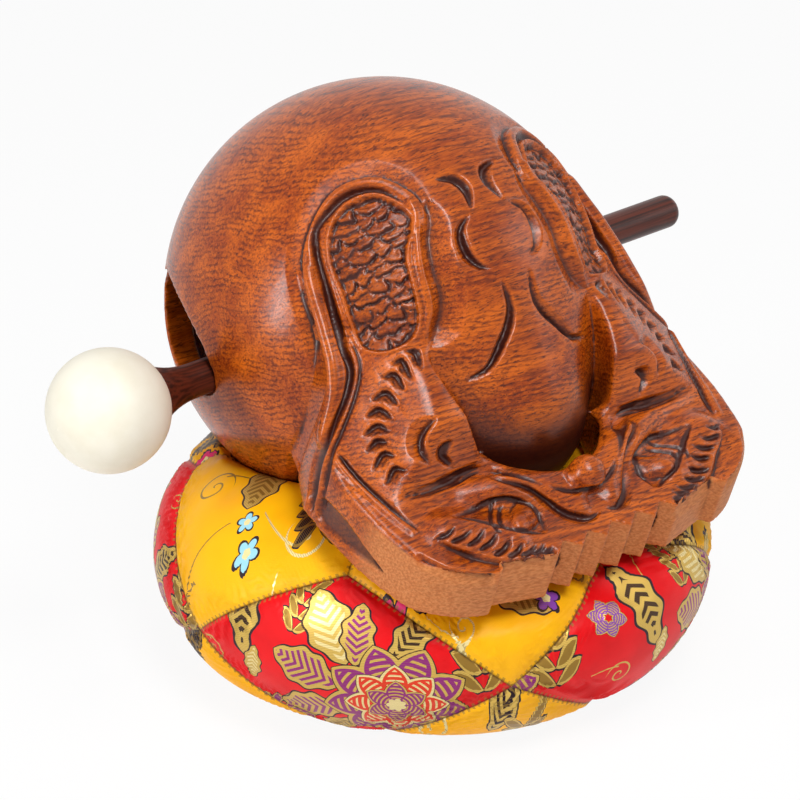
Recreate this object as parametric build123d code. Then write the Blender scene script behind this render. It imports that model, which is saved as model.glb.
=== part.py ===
from build123d import *
import math
import os

# A wooden fish temple block on its brocade cushion, with its rubber-headed mallet laid in its ears.
# Frame: +Z up, origin at the middle of the cushion's underside, the fish's head towards -Y,
# the mallet along X with its head at -X. Sizes are in millimetres and degrees.

# Cushion pad
CUSHION_DIAMETER = 198.0
CUSHION_HEIGHT = 80.0
WAIST_HEIGHT = 38.0  # level of the pad's widest line
BASE_DIAMETER = 122.0  # flat underside that rests on the table
CROWN_DIAMETER = 118.0  # flat part of the top, before the fish sinks into it
COVER_THICKNESS = 1.5
COVER_LOOSENESS = 0.3  # room between the cover and the filling

# Patchwork of the cover
PATCHES_ROUND = 5
FIRST_PATCH_ANGLE = -61.0  # middle of the first side patch, from straight ahead towards +X
HEART_HEIGHT = 8.0  # point low inside the pad that every seam plane passes through
SIDE_RISE = 14.5  # where side patches touch each other, seen from the heart
UPPER_RISE = 35.5  # upper points of the side patches
LOWER_RISE = -5.0  # lower points of the side patches

# Hollow bulb of the fish and its seat on the cushion
BULB_DIAMETER = 150.0
BULB_WALL = 9.0
BULB_SETBACK = 27.0  # bulb centre behind the cushion's axis
SINK_DEPTH = 32.0  # how far the bulb sinks below the cushion's crown
PITCH = 20.0  # nose-down tilt of the fish
SEAT_GAP = 0.3
HEAD_CLEARANCE = 3.0  # room between the head slab's underside and the pressed-down cushion

# Pearl: the smooth nose that swells out of the bulb towards the head
NOSE_REACH = 17.0  # nose tip in front of the bulb's round
NOSE_RADIUS = 33.0

# Head slab, the carrying handle, with its finger gap round the nose
FINGER_GAP = 10.0
FINGER_GAP_WIDTH = 72.0
LEDGE_DEPTH = 26.0  # from the finger gap to the tooth tips
SLAB_WIDTH = 152.0  # across the shoulder corners
SLAB_LENGTH = 68.0  # from the tooth tips back to the shoulder corners
SLAB_FRONT_THICKNESS = 20.0
SLAB_DROP = 18.5  # underside below the bulb's centre
SLAB_SLOPE = 5.0  # the top rises towards the back
CHEEK_BULGE = 3.0
JAW_WIDTH = 146.0
JAW_SETBACK = 17.0  # jaw corner behind the tooth tips
JAW_BULGE = 4.0
FIN_SPAN = 100.0  # across the tips of the two chin fins
FIN_SETBACK = 2.0
FIN_STEP = 3.0
TEETH_PER_SIDE = 3
TOOTH_PITCH = 10.8
TOOTH_DEPTH = 4.5

# Manes: the fish bodies that sweep from the bulb's sides down to the brows and shoulders
MANE_RISE = 36.0  # where a mane leaves the bulb, above its middle
MANE_TURN = 15.0  # and from its side towards the front
MANE_CROWN = 5.0
MANE_HOLLOW = 3.0
MANE_FRONT_HEIGHT = 24.0  # above the bulb's middle, where a mane turns down to the brow
MANE_FRONT_SETBACK = 49.0  # the same place, behind the tooth tips
BROW_SETBACK = 36.0  # foot of the manes, behind the tooth tips
SHOULDER_HEIGHT = 11.0  # flank's lowest back corner, above the bulb's middle
FLANK_RISE = 35.0  # the flank climbs inwards
FLANK_FALL = 22.0  # and falls forwards

# Sound slit sawn across the back of the bulb, between the oval ears drilled through its sides
EAR_LENGTH = 54.0
EAR_HEIGHT = 29.0
EAR_DROP = 11.0  # middle of the ears and the slit, below the bulb's centre
EAR_REACH = 4.5  # front end of the ears, where the stick lies, ahead of the bulb's centre
SLIT_HEIGHT = 7.0
STICK_CLEARANCE = 0.3

# Mallet
STICK_DIAMETER = 12.0
STICK_OVERHANG = 67.0  # bare end beyond the bulb's right side
STICK_END_ROUND = 4.0
HEAD_DIAMETER = 42.0
HEAD_STANDOFF = 39.0  # head's centre beyond the bulb's left side
NECK_DIAMETER = 21.0  # where the stick flares out to carry the head
NECK_GAP = 4.0  # flare starts this far outside the bulb
TENON_DIAMETER = 10.0
TENON_LENGTH = 22.0
TENON_CLEARANCE = 0.05

# Sizes worked out from those above
bulb_radius = BULB_DIAMETER / 2
bulb_height = CUSHION_HEIGHT - SINK_DEPTH + bulb_radius
nose_tip = bulb_radius + NOSE_REACH
nose_centre = nose_tip - NOSE_RADIUS
tooth_line = nose_tip + FINGER_GAP + LEDGE_DEPTH
shoulder_line = tooth_line - SLAB_LENGTH
mane_height = bulb_radius * math.sin(math.radians(MANE_RISE))
mane_reach = bulb_radius * math.cos(math.radians(MANE_RISE))
mane_spread = mane_reach * math.cos(math.radians(MANE_TURN))
mane_line = mane_reach * math.sin(math.radians(MANE_TURN))
ear_setback = EAR_LENGTH / 2 - EAR_REACH
stick_setback = STICK_DIAMETER / 2 + STICK_CLEARANCE - EAR_REACH
fish_place = Pos(0, BULB_SETBACK, bulb_height) * Rot(X=PITCH)
far = 4 * max(CUSHION_DIAMETER, BULB_DIAMETER, SLAB_WIDTH)  # well outside every piece


def egg(margin):
    """Bulb and nose: two balls joined by the cone that touches both, turned about the long axis."""
    bulb, nose = bulb_radius + margin, NOSE_RADIUS + margin
    lean = (bulb - nose) / nose_centre
    spread = math.sqrt(1 - lean**2)
    bulb_touch = (bulb * spread, -bulb * lean)
    nose_touch = (nose * spread, -nose_centre - nose * lean)
    tip = (0, -nose_centre - nose)
    profile = ThreePointArc((0, bulb), (bulb, 0), bulb_touch)
    profile += Line(bulb_touch, nose_touch)
    profile += TangentArc(tip, nose_touch, tangent=(1, 0))
    profile += Line(tip, (0, bulb))
    return revolve(make_face(profile), Axis.Y)


def head_outline():
    """Head and manes seen from above: toothed front edge, chin fins, jaws, cheeks and shoulders."""
    teeth = [(0, TOOTH_DEPTH - tooth_line)]
    for tooth in range(TEETH_PER_SIDE):
        if tooth:
            teeth.append((tooth * TOOTH_PITCH, TOOTH_DEPTH - tooth_line))
        teeth.append(((tooth + 0.5) * TOOTH_PITCH, -tooth_line))
    fin = (FIN_SPAN / 2, FIN_SETBACK - tooth_line)
    notch = (FIN_SPAN / 2 - FIN_STEP, fin[1] + FIN_STEP)
    jaw = (JAW_WIDTH / 2, JAW_SETBACK - tooth_line)
    jaw_bend = ((fin[0] + jaw[0] + JAW_BULGE) / 2, (fin[1] + jaw[1] - JAW_BULGE) / 2)
    shoulder = (SLAB_WIDTH / 2, -shoulder_line)
    cheek = ((jaw[0] + shoulder[0]) / 2 + CHEEK_BULGE, (jaw[1] + shoulder[1]) / 2)
    mane = (mane_spread, -mane_line)
    hollow = ((mane[0] + shoulder[0]) / 2 - MANE_HOLLOW, (mane[1] + shoulder[1]) / 2)
    half = Polyline(*teeth, notch, fin)
    half += ThreePointArc(fin, jaw_bend, jaw)
    half += ThreePointArc(jaw, cheek, shoulder)
    half += ThreePointArc(shoulder, hollow, mane)
    half += Polyline(mane, (0, mane[1]), teeth[0])
    right = make_face(half)
    return right + mirror(right, Plane.YZ)


def slab_profile():
    """Head slab seen from the side: flat underside and gently sloping top."""
    front_top = SLAB_FRONT_THICKNESS - SLAB_DROP
    back_top = front_top + (tooth_line - mane_line) * math.tan(math.radians(SLAB_SLOPE))
    corners = [(-tooth_line, -SLAB_DROP), (-tooth_line, front_top)]
    corners += [(-mane_line, back_top), (-mane_line, -SLAB_DROP)]
    return make_face(Polyline(*corners, close=True))


def mane_profile():
    """Manes seen from the side: a crest that leaves the bulb, arches forwards and drops to the brow."""
    start, front = (-mane_line, mane_height), (MANE_FRONT_SETBACK - tooth_line, MANE_FRONT_HEIGHT)
    crest = ((start[0] + front[0]) / 2, (start[1] + front[1]) / 2 + MANE_CROWN)
    brow = (BROW_SETBACK - tooth_line, 0)
    profile = ThreePointArc(start, crest, front)
    profile += Polyline(front, brow, (start[0], 0), start)
    return make_face(profile)


def outside_flank():
    """Everything above the left flank, the slanting plane that a mane's outer side is carved to."""
    rise, fall = math.tan(math.radians(FLANK_RISE)), math.tan(math.radians(FLANK_FALL))
    shoulder = (SLAB_WIDTH / 2, -shoulder_line, SHOULDER_HEIGHT)
    return Plane(origin=shoulder, z_dir=(rise, -fall, 1)) * Pos(Z=far / 2) * Box(far, far, far)


def head():
    """Carrying handle and manes, cut to the outline seen from above and pierced by the finger gap."""
    slab = extrude(Plane.YZ * slab_profile(), far, both=True)
    manes = extrude(Plane.YZ * mane_profile(), far, both=True)
    flank = outside_flank()
    manes -= flank + mirror(flank, Plane.YZ)
    hole = Ellipse(FINGER_GAP_WIDTH / 2, NOSE_RADIUS + FINGER_GAP)
    gap = Pos(0, -nose_centre) * extrude(hole, far, both=True)
    return (extrude(head_outline(), far, both=True) & (slab + manes)) - gap


def slit():
    """Oval ears right through the bulb's sides, and the saw cut that joins them across its back."""
    ears = extrude(Plane.YZ * Ellipse(EAR_LENGTH / 2, EAR_HEIGHT / 2), far, both=True)
    cut = Pos(Y=bulb_radius / 2) * Box(far, bulb_radius, SLIT_HEIGHT)
    return Pos(0, ear_setback, -EAR_DROP) * (ears + cut)


def fish_body():
    """The whole fish is carved from one block: bulb, nose and head, hollowed through ears and slit."""
    block = egg(0) + head()
    return fish_place * (block - Sphere(bulb_radius - BULB_WALL) - slit())


def mallet_axis():
    """Where the stick lies in the ears' front end: a frame with Z along the stick, towards the head."""
    return fish_place * Pos(0, stick_setback, -EAR_DROP) * Rot(Y=-90)


head_centre = bulb_radius + HEAD_STANDOFF
head_seat = head_centre - math.sqrt((HEAD_DIAMETER**2 - NECK_DIAMETER**2) / 4)


def mallet_stick():
    """Turned hardwood stick: rounded end, straight shank, flared neck and a tenon inside the head."""
    shank = STICK_DIAMETER / 2
    tail = -bulb_radius - STICK_OVERHANG
    flare = bulb_radius + NECK_GAP
    profile = Line((0, tail), (shank - STICK_END_ROUND, tail))
    profile += TangentArc((shank - STICK_END_ROUND, tail), (shank, tail + STICK_END_ROUND), tangent=(1, 0))
    profile += Line((shank, tail + STICK_END_ROUND), (shank, flare))
    profile += TangentArc((shank, flare), (NECK_DIAMETER / 2, head_seat), tangent=(0, 1))
    profile += Polyline(
        (NECK_DIAMETER / 2, head_seat),
        (TENON_DIAMETER / 2, head_seat),
        (TENON_DIAMETER / 2, head_seat + TENON_LENGTH),
        (0, head_seat + TENON_LENGTH),
        (0, tail),
    )
    turned = revolve(Plane.XZ * make_face(profile), Axis.Z)
    return mallet_axis() * turned


def mallet_head():
    """Rubber ball with a flat seat for the neck and a blind hole for the tenon."""
    ball = Pos(Z=head_centre) * Sphere(HEAD_DIAMETER / 2)
    ball -= Pos(Z=head_seat - far / 2) * Box(far, far, far)
    hole_depth = TENON_LENGTH + TENON_CLEARANCE
    hole = Cylinder(TENON_DIAMETER / 2 + TENON_CLEARANCE, 2 * hole_depth)
    return mallet_axis() * (ball - Pos(Z=head_seat) * hole)


def pad(inset):
    """Round pad with bulging sides, dished by the bulb and pressed flat under the head slab."""
    waist = CUSHION_DIAMETER / 2 - inset
    base, crown = BASE_DIAMETER / 2, CROWN_DIAMETER / 2
    fall, rise = WAIST_HEIGHT - inset, CUSHION_HEIGHT - inset - WAIST_HEIGHT
    top = WAIST_HEIGHT + rise
    side = EllipticalCenterArc((base, WAIST_HEIGHT), waist - base, fall, start_angle=-90, arc_size=90)
    side += EllipticalCenterArc((crown, WAIST_HEIGHT), waist - crown, rise, start_angle=0, arc_size=90)
    side += Polyline((crown, top), (0, top), (0, inset), (base, inset))
    body = revolve(Plane.XZ * make_face(side), Axis.Z)
    press = Pos(0, -far / 2, far / 2 - SLAB_DROP - HEAD_CLEARANCE - inset) * Box(far, far, far)
    return body - fish_place * egg(SEAT_GAP + inset) - fish_place * press


def direction(turn, rise):
    """Unit vector from the pad's heart, turned from straight ahead and raised from level."""
    turn, rise = math.radians(turn), math.radians(rise)
    return Vector(math.sin(turn) * math.cos(rise), -math.cos(turn) * math.cos(rise), math.sin(rise))


def wedge(corners):
    """Everything that a patch's four corners enclose, seen from the pad's heart."""
    heart = Vector(0, 0, HEART_HEIGHT)
    first, second, third, fourth = [heart + corner * far for corner in corners]
    triangles = [
        (heart, first, second),
        (heart, second, third),
        (heart, third, fourth),
        (heart, fourth, first),
        (first, second, third),
        (first, third, fourth),
    ]
    return Solid(Shell([make_face(Polyline(*triangle, close=True)).face() for triangle in triangles]))


def cover_patches():
    """Brocade cover cut along its seams: side diamonds, and kites that meet above and below."""
    cover = pad(0) - pad(COVER_THICKNESS)
    turn = 360 / PATCHES_ROUND
    patches = {}
    for number in range(PATCHES_ROUND):
        middle = FIRST_PATCH_ANGLE + number * turn
        left, right = middle - turn / 2, middle + turn / 2
        upper, lower = direction(middle, UPPER_RISE), direction(middle, LOWER_RISE)
        diamond = [direction(left, SIDE_RISE), upper, direction(right, SIDE_RISE), lower]
        patches[f"side_patch_{number + 1}"] = cover & wedge(diamond)
        for name, pole, rise in (("top", 1, UPPER_RISE), ("bottom", -1, LOWER_RISE)):
            kite = [Vector(0, 0, pole), direction(middle, rise), direction(right, SIDE_RISE)]
            kite.append(direction(middle + turn, rise))
            patches[f"{name}_patch_{number + 1}"] = cover & wedge(kite)
    return patches


pieces = {
    "fish_body": fish_body(),
    "mallet_stick": mallet_stick(),
    "mallet_head": mallet_head(),
    "cushion_filling": pad(COVER_THICKNESS + COVER_LOOSENESS),
    **cover_patches(),
}
os.makedirs("parts", exist_ok=True)
for name, piece in pieces.items():
    export_step(piece, f"parts/{name}.step")
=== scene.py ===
"""A carved wooden fish on its patchwork cushion, with its mallet laid through the ears."""

import math

import bpy
import numpy as np
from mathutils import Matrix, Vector
from mathutils.bvhtree import BVHTree


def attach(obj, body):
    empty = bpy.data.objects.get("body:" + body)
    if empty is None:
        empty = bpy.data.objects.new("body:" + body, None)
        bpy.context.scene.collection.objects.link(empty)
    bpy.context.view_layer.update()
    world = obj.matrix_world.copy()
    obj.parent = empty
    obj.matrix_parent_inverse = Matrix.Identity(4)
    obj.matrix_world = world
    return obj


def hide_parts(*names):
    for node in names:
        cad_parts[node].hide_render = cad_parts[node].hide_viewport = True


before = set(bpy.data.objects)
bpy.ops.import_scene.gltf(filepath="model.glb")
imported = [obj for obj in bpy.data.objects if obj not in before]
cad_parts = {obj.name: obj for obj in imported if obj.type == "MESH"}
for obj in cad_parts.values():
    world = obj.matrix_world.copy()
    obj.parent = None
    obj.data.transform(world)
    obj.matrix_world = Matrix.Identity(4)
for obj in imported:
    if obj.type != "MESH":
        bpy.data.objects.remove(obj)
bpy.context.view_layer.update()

# Studio. A white table and wall under soft lamps: one in front and above, a narrow strip at the left,
# a weak one at the right and one overhead. The camera stands where it stood for the picture.
VIEW_AZIMUTH, VIEW_ELEVATION = math.radians(-40.49), math.radians(25.96)
VIEW_DISTANCE = 1.600
VIEW_TARGET = Vector((0, 0.01779, 0.08658))
LENS, SENSOR = 208.9, 36.0
WHITE = (1, 1, 1, 1)
FLOOR_SIZE, FLOOR_WHITE = 8.0, (0.93, 0.93, 0.93, 1)
FLOOR_GLOW = 0.92  # share of plain white over the floor's own shading
WORLD_LIGHT = 0.14
# name: azimuth and elevation in degrees, distance, width and height in metres, share of full light
LAMPS = {
    "key_lamp": (-22, 54, 1.3, 0.45, 0.45, 0.62),
    "left_lamp": (-95, 16, 1.2, 0.12, 0.60, 0.46),
    "right_lamp": (55, 22, 1.5, 0.60, 0.60, 0.11),
    "top_lamp": (-30, 78, 1.3, 0.50, 0.50, 0.26),
}
FULL_LIGHT = math.pi**2  # watts at one metre under which a colour shows as written


def towards(azimuth, elevation):
    """Unit vector from the object to a lamp or camera; azimuth 0 is in front, 90 at its right."""
    level = math.cos(elevation)
    return Vector((math.sin(azimuth) * level, -math.cos(azimuth) * level, math.sin(elevation)))


camera_way = towards(VIEW_AZIMUTH, VIEW_ELEVATION)
camera_turn = camera_way.to_track_quat("Z", "Y")
camera_place = VIEW_TARGET + camera_way * VIEW_DISTANCE
bpy.ops.object.camera_add(location=camera_place, rotation=camera_turn.to_euler())
camera = bpy.context.object
camera.data.lens, camera.data.sensor_width = LENS, SENSOR
bpy.context.scene.camera = camera
bpy.context.scene.view_settings.view_transform = "Standard"

for name, (azimuth, elevation, distance, width, height, share) in LAMPS.items():
    way = towards(math.radians(azimuth), math.radians(elevation))
    place, turn = VIEW_TARGET + way * distance, way.to_track_quat("Z", "Y")
    bpy.ops.object.light_add(type="AREA", location=place, rotation=turn.to_euler())
    lamp = bpy.context.object
    lamp.name, lamp.data.shape = name, "RECTANGLE"
    lamp.data.size, lamp.data.size_y = width, height
    lamp.data.energy = FULL_LIGHT * distance**2 * share


def joined_by(operation, swapped=False):
    """A method that joins a wire and another wire or number by a Math node."""
    if swapped:
        return lambda wire, other: wire.math(operation, other, wire)
    return lambda wire, other: wire.math(operation, wire, other)


class Wire:
    """An output of one of a finish's nodes. Sums and comparisons on it add Math nodes."""

    def __init__(self, finish, socket):
        self.finish, self.socket = finish, socket

    def math(self, operation, first, second=0.0):
        return self.finish.add("Math", {"operation": operation}, {0: first, 1: second})

    __add__ = __radd__ = joined_by("ADD")
    __mul__ = __rmul__ = joined_by("MULTIPLY")
    __sub__, __rsub__ = joined_by("SUBTRACT"), joined_by("SUBTRACT", swapped=True)
    __truediv__, __pow__ = joined_by("DIVIDE"), joined_by("POWER")
    __lt__, __gt__ = joined_by("LESS_THAN"), joined_by("GREATER_THAN")
    __and__, __or__ = joined_by("MINIMUM"), joined_by("MAXIMUM")

    def __abs__(self):
        return self.math("ABSOLUTE", self)

    def fract(self):
        return self.math("FRACT", self)

    def sine(self):
        return self.math("SINE", self)

    def fade(self, low, high):
        """0 at low, 1 at high, smooth between them."""
        limits = {"Value": self, "From Min": low, "From Max": high}
        return self.finish.add("MapRange", {"interpolation_type": "SMOOTHSTEP"}, limits)


class Finish:
    """A node tree being wired: add() puts in a node with its settings and sockets."""

    def __init__(self, tree):
        self.tree = tree

    def add(self, kind, settings=None, sockets=None, output=0):
        node = self.tree.nodes.new("ShaderNode" + kind)
        for name, value in (settings or {}).items():
            setattr(node, name, value)
        for name, value in (sockets or {}).items():
            self.join(value, node.inputs[name])
        return Wire(self, node.outputs[output])

    def join(self, value, socket):
        """Links a wire to a socket, or sets the socket's own value."""
        if isinstance(value, Wire):
            self.tree.links.new(value.socket, socket)
        else:
            socket.default_value = value

    def mix(self, share, first, second):
        """Colour first where share is 0, second where it is 1."""
        return self.add("Mix", {"data_type": "RGBA"}, {0: share, 6: first, 7: second}, output=2)

    def axes(self, vector):
        """The three parts of a vector."""
        parts = self.add("SeparateXYZ", None, {0: vector})
        return [Wire(self, socket) for socket in parts.socket.node.outputs]

    def attribute(self, name):
        """A value that the mesh carries on its vertices."""
        return self.add("Attribute", {"attribute_name": name}, output=2)

    def object_place(self):
        """The place on a piece, in its own axes."""
        return self.add("TexCoord", output=3)

    def noise(self, place, scale, detail, **more):
        """Cloudy noise, finer with a larger scale."""
        return self.add("TexNoise", None, {"Vector": place, "Scale": scale, "Detail": detail, **more})

    def paint(self, **looks):
        """Sets or wires sockets of the tree's Principled shader."""
        for name, value in looks.items():
            self.join(value, self.tree.nodes["Principled BSDF"].inputs[name.replace("_", " ")])

    def bump(self, height, strength, distance):
        """Raises the surface with a height, through the shader's normal."""
        raised = {"Strength": strength, "Distance": distance, "Height": height}
        self.paint(Normal=self.add("Bump", None, raised))


def new_finish(name, **looks):
    """A material with a Principled shader, and its node tree to be wired."""
    material = bpy.data.materials.new(name)
    material.use_nodes = True
    wires = Finish(material.node_tree)
    wires.paint(**looks)
    return material, wires


def seen_directly(wires):
    """1 for rays that show a backdrop itself, in the picture or in a glossy reflection."""
    path = wires.add("LightPath").socket.node.outputs
    kinds = ("Is Camera Ray", "Is Glossy Ray", "Is Transmission Ray")
    seen, mirrored, through = (Wire(wires, path[kind]) for kind in kinds)
    return seen | mirrored | through


world = bpy.data.worlds.new("white_room")
world.use_nodes = True
bpy.context.scene.world = world
room = Finish(world.node_tree)
backdrop = world.node_tree.nodes["Background"]
backdrop.inputs["Color"].default_value = WHITE
room.join(WORLD_LIGHT + (1 - WORLD_LIGHT) * seen_directly(room), backdrop.inputs["Strength"])

bpy.ops.mesh.primitive_plane_add(size=FLOOR_SIZE)
floor = bpy.context.object
floor.name = "floor"
floor_finish, wires = new_finish(
    "white_floor", Base_Color=FLOOR_WHITE, Roughness=1.0, Specular_IOR_Level=0.0)
nodes = floor_finish.node_tree.nodes
plain = Wire(wires, nodes["Principled BSDF"].outputs[0])
glow = wires.add("Emission", None, {"Color": WHITE, "Strength": 1.0})
blend = wires.add("MixShader", None, {0: FLOOR_GLOW * seen_directly(wires), 1: plain, 2: glow})
wires.join(blend, nodes["Material Output"].inputs["Surface"])
floor.data.materials.append(floor_finish)

# Cushion. Cotton wadding in a cover sewn from fifteen brocade patches: five red diamonds round the
# side, yellow kites above and below. Its seams pull in, and the fish has pressed a dish into its top.
MM = 0.001
HEART = np.array((0, 0, 8.0)) * MM
PATCHES_ROUND, FIRST_PATCH = 5, -61.0
SIDE_RISE, UPPER_RISE, LOWER_RISE = 14.5, 35.5, -5.0
BULB_CENTRE = np.array((0, 27.0, 123.0)) * MM
FISH_PITCH = math.radians(20)
LEAN, DROP = math.cos(FISH_PITCH), math.sin(FISH_PITCH)
BULB_RADIUS, NOSE_RADIUS, NOSE_CENTRE = 75.0 * MM, 33.0 * MM, 59.0 * MM
SLAB_UNDERSIDE = -18.5 * MM
CLOTH_CLEARANCE = 0.35 * MM
PRESS_ROUNDS, PRESS_NUDGE = 3, 0.2 * MM
VOXEL, WELD_REACH = 5.0 * MM, 1e-6
SWELL_FRAMES, SWELL_PRESSURE, SWELL_CAP = 20, 4.0, 4.5 * MM
SEAM_DEPTH, SEAM_WIDTH = 1.0 * MM, 1.6 * MM
SAG_DEPTH, SAG_WIDTH = 1.2 * MM, 10.0 * MM
PUCKER_DEPTH, PUCKER_PITCH, PUCKER_SLANT = 0.45 * MM, 7.0 * MM, 40
SEAM_OVERLAP = 1.0 * MM  # past either end of a seam
COVER_THICKNESS = 1.2 * MM
WADDING_INSET = 2.0 * MM


def only(piece):
    """Makes a piece the one selected and active object."""
    bpy.ops.object.select_all(action="DESELECT")
    piece.select_set(True)
    bpy.context.view_layer.objects.active = piece


def copy_of(source, name):
    """A copy of an object's mesh as a new piece."""
    piece = bpy.data.objects.new(name, source.data.copy())
    piece.data.materials.clear()
    bpy.context.collection.objects.link(piece)
    only(piece)
    return piece


def merged(piece):
    """Joins a CAD mesh's loose triangles at their corners."""
    only(piece)
    bpy.ops.object.mode_set(mode="EDIT")
    bpy.ops.mesh.select_all(action="SELECT")
    bpy.ops.mesh.remove_doubles(threshold=WELD_REACH)
    bpy.ops.object.mode_set(mode="OBJECT")


def finish_with(piece, kind, **settings):
    """Adds a modifier with its settings and applies it."""
    only(piece)
    modifier = piece.modifiers.new(kind.lower(), kind)
    for name, value in settings.items():
        setattr(modifier, name, value)
    bpy.ops.object.modifier_apply(modifier=modifier.name)


def points_of(piece):
    """A mesh's vertices as rows of x, y, z."""
    flat = np.empty(len(piece.data.vertices) * 3)
    piece.data.vertices.foreach_get("co", flat)
    return flat.reshape(-1, 3)


def move_points(piece, points):
    """Puts a mesh's vertices at new places."""
    piece.data.vertices.foreach_set("co", points.ravel())
    piece.data.update()


def normals_of(piece):
    """Unit normals of a mesh's vertices."""
    flat = np.empty(len(piece.data.vertices) * 3, dtype=np.float32)
    piece.data.vertex_normals.foreach_get("vector", flat)
    return flat.reshape(-1, 3).astype(float)


def fish_axes(points):
    """Across, forward and up in the tilted fish, from the middle of its bulb."""
    back, rise = points[:, 1] - BULB_CENTRE[1], points[:, 2] - BULB_CENTRE[2]
    return np.stack([points[:, 0], -LEAN * back - DROP * rise, LEAN * rise - DROP * back], axis=1)


def fish_place(local):
    """World places of points given across, forward and up in the fish."""
    back = -LEAN * local[:, 1] - DROP * local[:, 2]
    rise = LEAN * local[:, 2] - DROP * local[:, 1]
    return np.stack([local[:, 0], BULB_CENTRE[1] + back, BULB_CENTRE[2] + rise], axis=1)


def egg_gap(local):
    """Distance outside the bulb and nose, two balls joined by the cone that touches both."""
    across, along = np.hypot(local[:, 0], local[:, 2]), local[:, 1]
    slope = (BULB_RADIUS - NOSE_RADIUS) / NOSE_CENTRE
    spread = math.sqrt(1 - slope**2)
    reach = along * spread - across * slope
    bulb = np.hypot(across, along) - BULB_RADIUS
    nose = np.hypot(across, along - NOSE_CENTRE) - NOSE_RADIUS
    cone = across * spread + along * slope - BULB_RADIUS
    return np.where(reach < 0, bulb, np.where(reach > NOSE_CENTRE * spread, nose, cone))


def fit_under_fish(points):
    """Presses cushion points out of the bulb and nose, and below the head slab."""
    local = fish_axes(points)
    for _ in range(PRESS_ROUNDS):
        gap = egg_gap(local)
        slopes = [(egg_gap(local + PRESS_NUDGE * axis) - gap) / PRESS_NUDGE for axis in np.eye(3)]
        local += np.stack(slopes, axis=1) * np.maximum(CLOTH_CLEARANCE - gap, 0)[:, None]
    ceiling = SLAB_UNDERSIDE - CLOTH_CLEARANCE
    ahead = local[:, 1] > 0
    local[:, 2] = np.where(ahead, np.minimum(local[:, 2], ceiling), local[:, 2])
    points = fish_place(local)
    points[:, 2] = np.maximum(points[:, 2], 0)
    return points


def from_heart(turn, rise):
    """Unit vector from the pad's heart, turned from straight ahead and raised from level."""
    return np.array(towards(math.radians(turn), math.radians(rise)))


def patch_corners():
    """Corner directions of every patch, in order round it, by the name of its node."""
    corners, turn = {}, 360 / PATCHES_ROUND
    for number in range(PATCHES_ROUND):
        middle = FIRST_PATCH + number * turn
        left, right = (from_heart(middle + half, SIDE_RISE) for half in (-turn / 2, turn / 2))
        upper, lower = (from_heart(middle, rise) for rise in (UPPER_RISE, LOWER_RISE))
        corners[f"side_patch_{number + 1}"] = [left, upper, right, lower]
        for name, pole, rise in (("top", 1, UPPER_RISE), ("bottom", -1, LOWER_RISE)):
            far_side = from_heart(middle + turn, rise)
            corners[f"{name}_patch_{number + 1}"] = [
                np.array((0, 0, pole)), from_heart(middle, rise), right, far_side]
    return corners


def sides_of(patch):
    """Pairs of neighbouring corners, all the way round a patch."""
    return list(zip(patch, patch[1:] + patch[:1]))


def seams_of(corners):
    """Each seam once, as the two corner directions it joins."""
    seams = {}
    for patch in corners.values():
        for start, end in sides_of(patch):
            key = frozenset((tuple(np.round(start, 6)), tuple(np.round(end, 6))))
            seams.setdefault(key, (start, end))
    return list(seams.values())


def about_seam(points, start, end):
    """Distance of points from a seam, places along it, and which of them lie between its ends."""
    spokes, plane = points - HEART, np.cross(start, end)
    plane /= np.linalg.norm(plane)
    past_start, before_end = np.cross(start, spokes) @ plane, np.cross(spokes, end) @ plane
    along = np.arctan2(past_start, spokes @ start) * np.linalg.norm(spokes, axis=1)
    within = (past_start > -SEAM_OVERLAP) & (before_end > -SEAM_OVERLAP)
    return np.abs(spokes @ plane), along, within


def nearest_seam(points, seams):
    """Distance of each point from the nearest of some seams, and its place along that seam."""
    nearest, place = np.full(len(points), np.inf), np.zeros(len(points))
    for start, end in seams:
        off, along, _ = about_seam(points, start, end)
        place = np.where(off < nearest, along, place)
        nearest = np.minimum(nearest, off)
    return nearest, place


def pull_in_seams(points, normals, seams):
    """Sinks the cloth along its seams: a sharp stitched crease, a soft sag and small puckers."""
    sink = np.zeros(len(points))
    for start, end in seams:
        off, along, within = about_seam(points, start, end)
        sharp, soft = (np.exp(-((off / width) ** 2)) for width in (SEAM_WIDTH, SAG_WIDTH))
        wave = np.sin(along * 2 * math.pi / PUCKER_PITCH + PUCKER_SLANT * off / SAG_WIDTH)
        fold = SEAM_DEPTH * sharp + SAG_DEPTH * soft
        fold += PUCKER_DEPTH * wave * soft * (1 - sharp)
        sink = np.maximum(sink, np.where(within, fold, 0))
    return points - normals * sink[:, None]


pad = copy_of(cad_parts["cushion_filling"], "cushion_wadding")
merged(pad)
finish_with(pad, "REMESH", mode="VOXEL", voxel_size=VOXEL)
start = points_of(pad)
only(pad)
cloth = pad.modifiers.new("cloth", "CLOTH")
cloth.settings.use_pressure, cloth.settings.uniform_pressure_force = True, SWELL_PRESSURE
cloth.settings.effector_weights.gravity = 0
cloth.point_cache.frame_start, cloth.point_cache.frame_end = 1, SWELL_FRAMES
for step in range(1, SWELL_FRAMES + 1):
    bpy.context.scene.frame_set(step)
bpy.ops.object.modifier_apply(modifier=cloth.name)
bpy.context.scene.frame_set(1)
swell = points_of(pad) - start
length = np.maximum(np.linalg.norm(swell, axis=1), 1e-9)[:, None]
move_points(pad, start + swell * np.minimum(1, SWELL_CAP / length))
finish_with(pad, "SUBSURF", levels=2, render_levels=2)
corners = patch_corners()
seams = seams_of(corners)
move_points(pad, fit_under_fish(points_of(pad)))
move_points(pad, pull_in_seams(points_of(pad), normals_of(pad), seams))
move_points(pad, fit_under_fish(points_of(pad)))
cover_points, cover_normals = points_of(pad), normals_of(pad)

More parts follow.
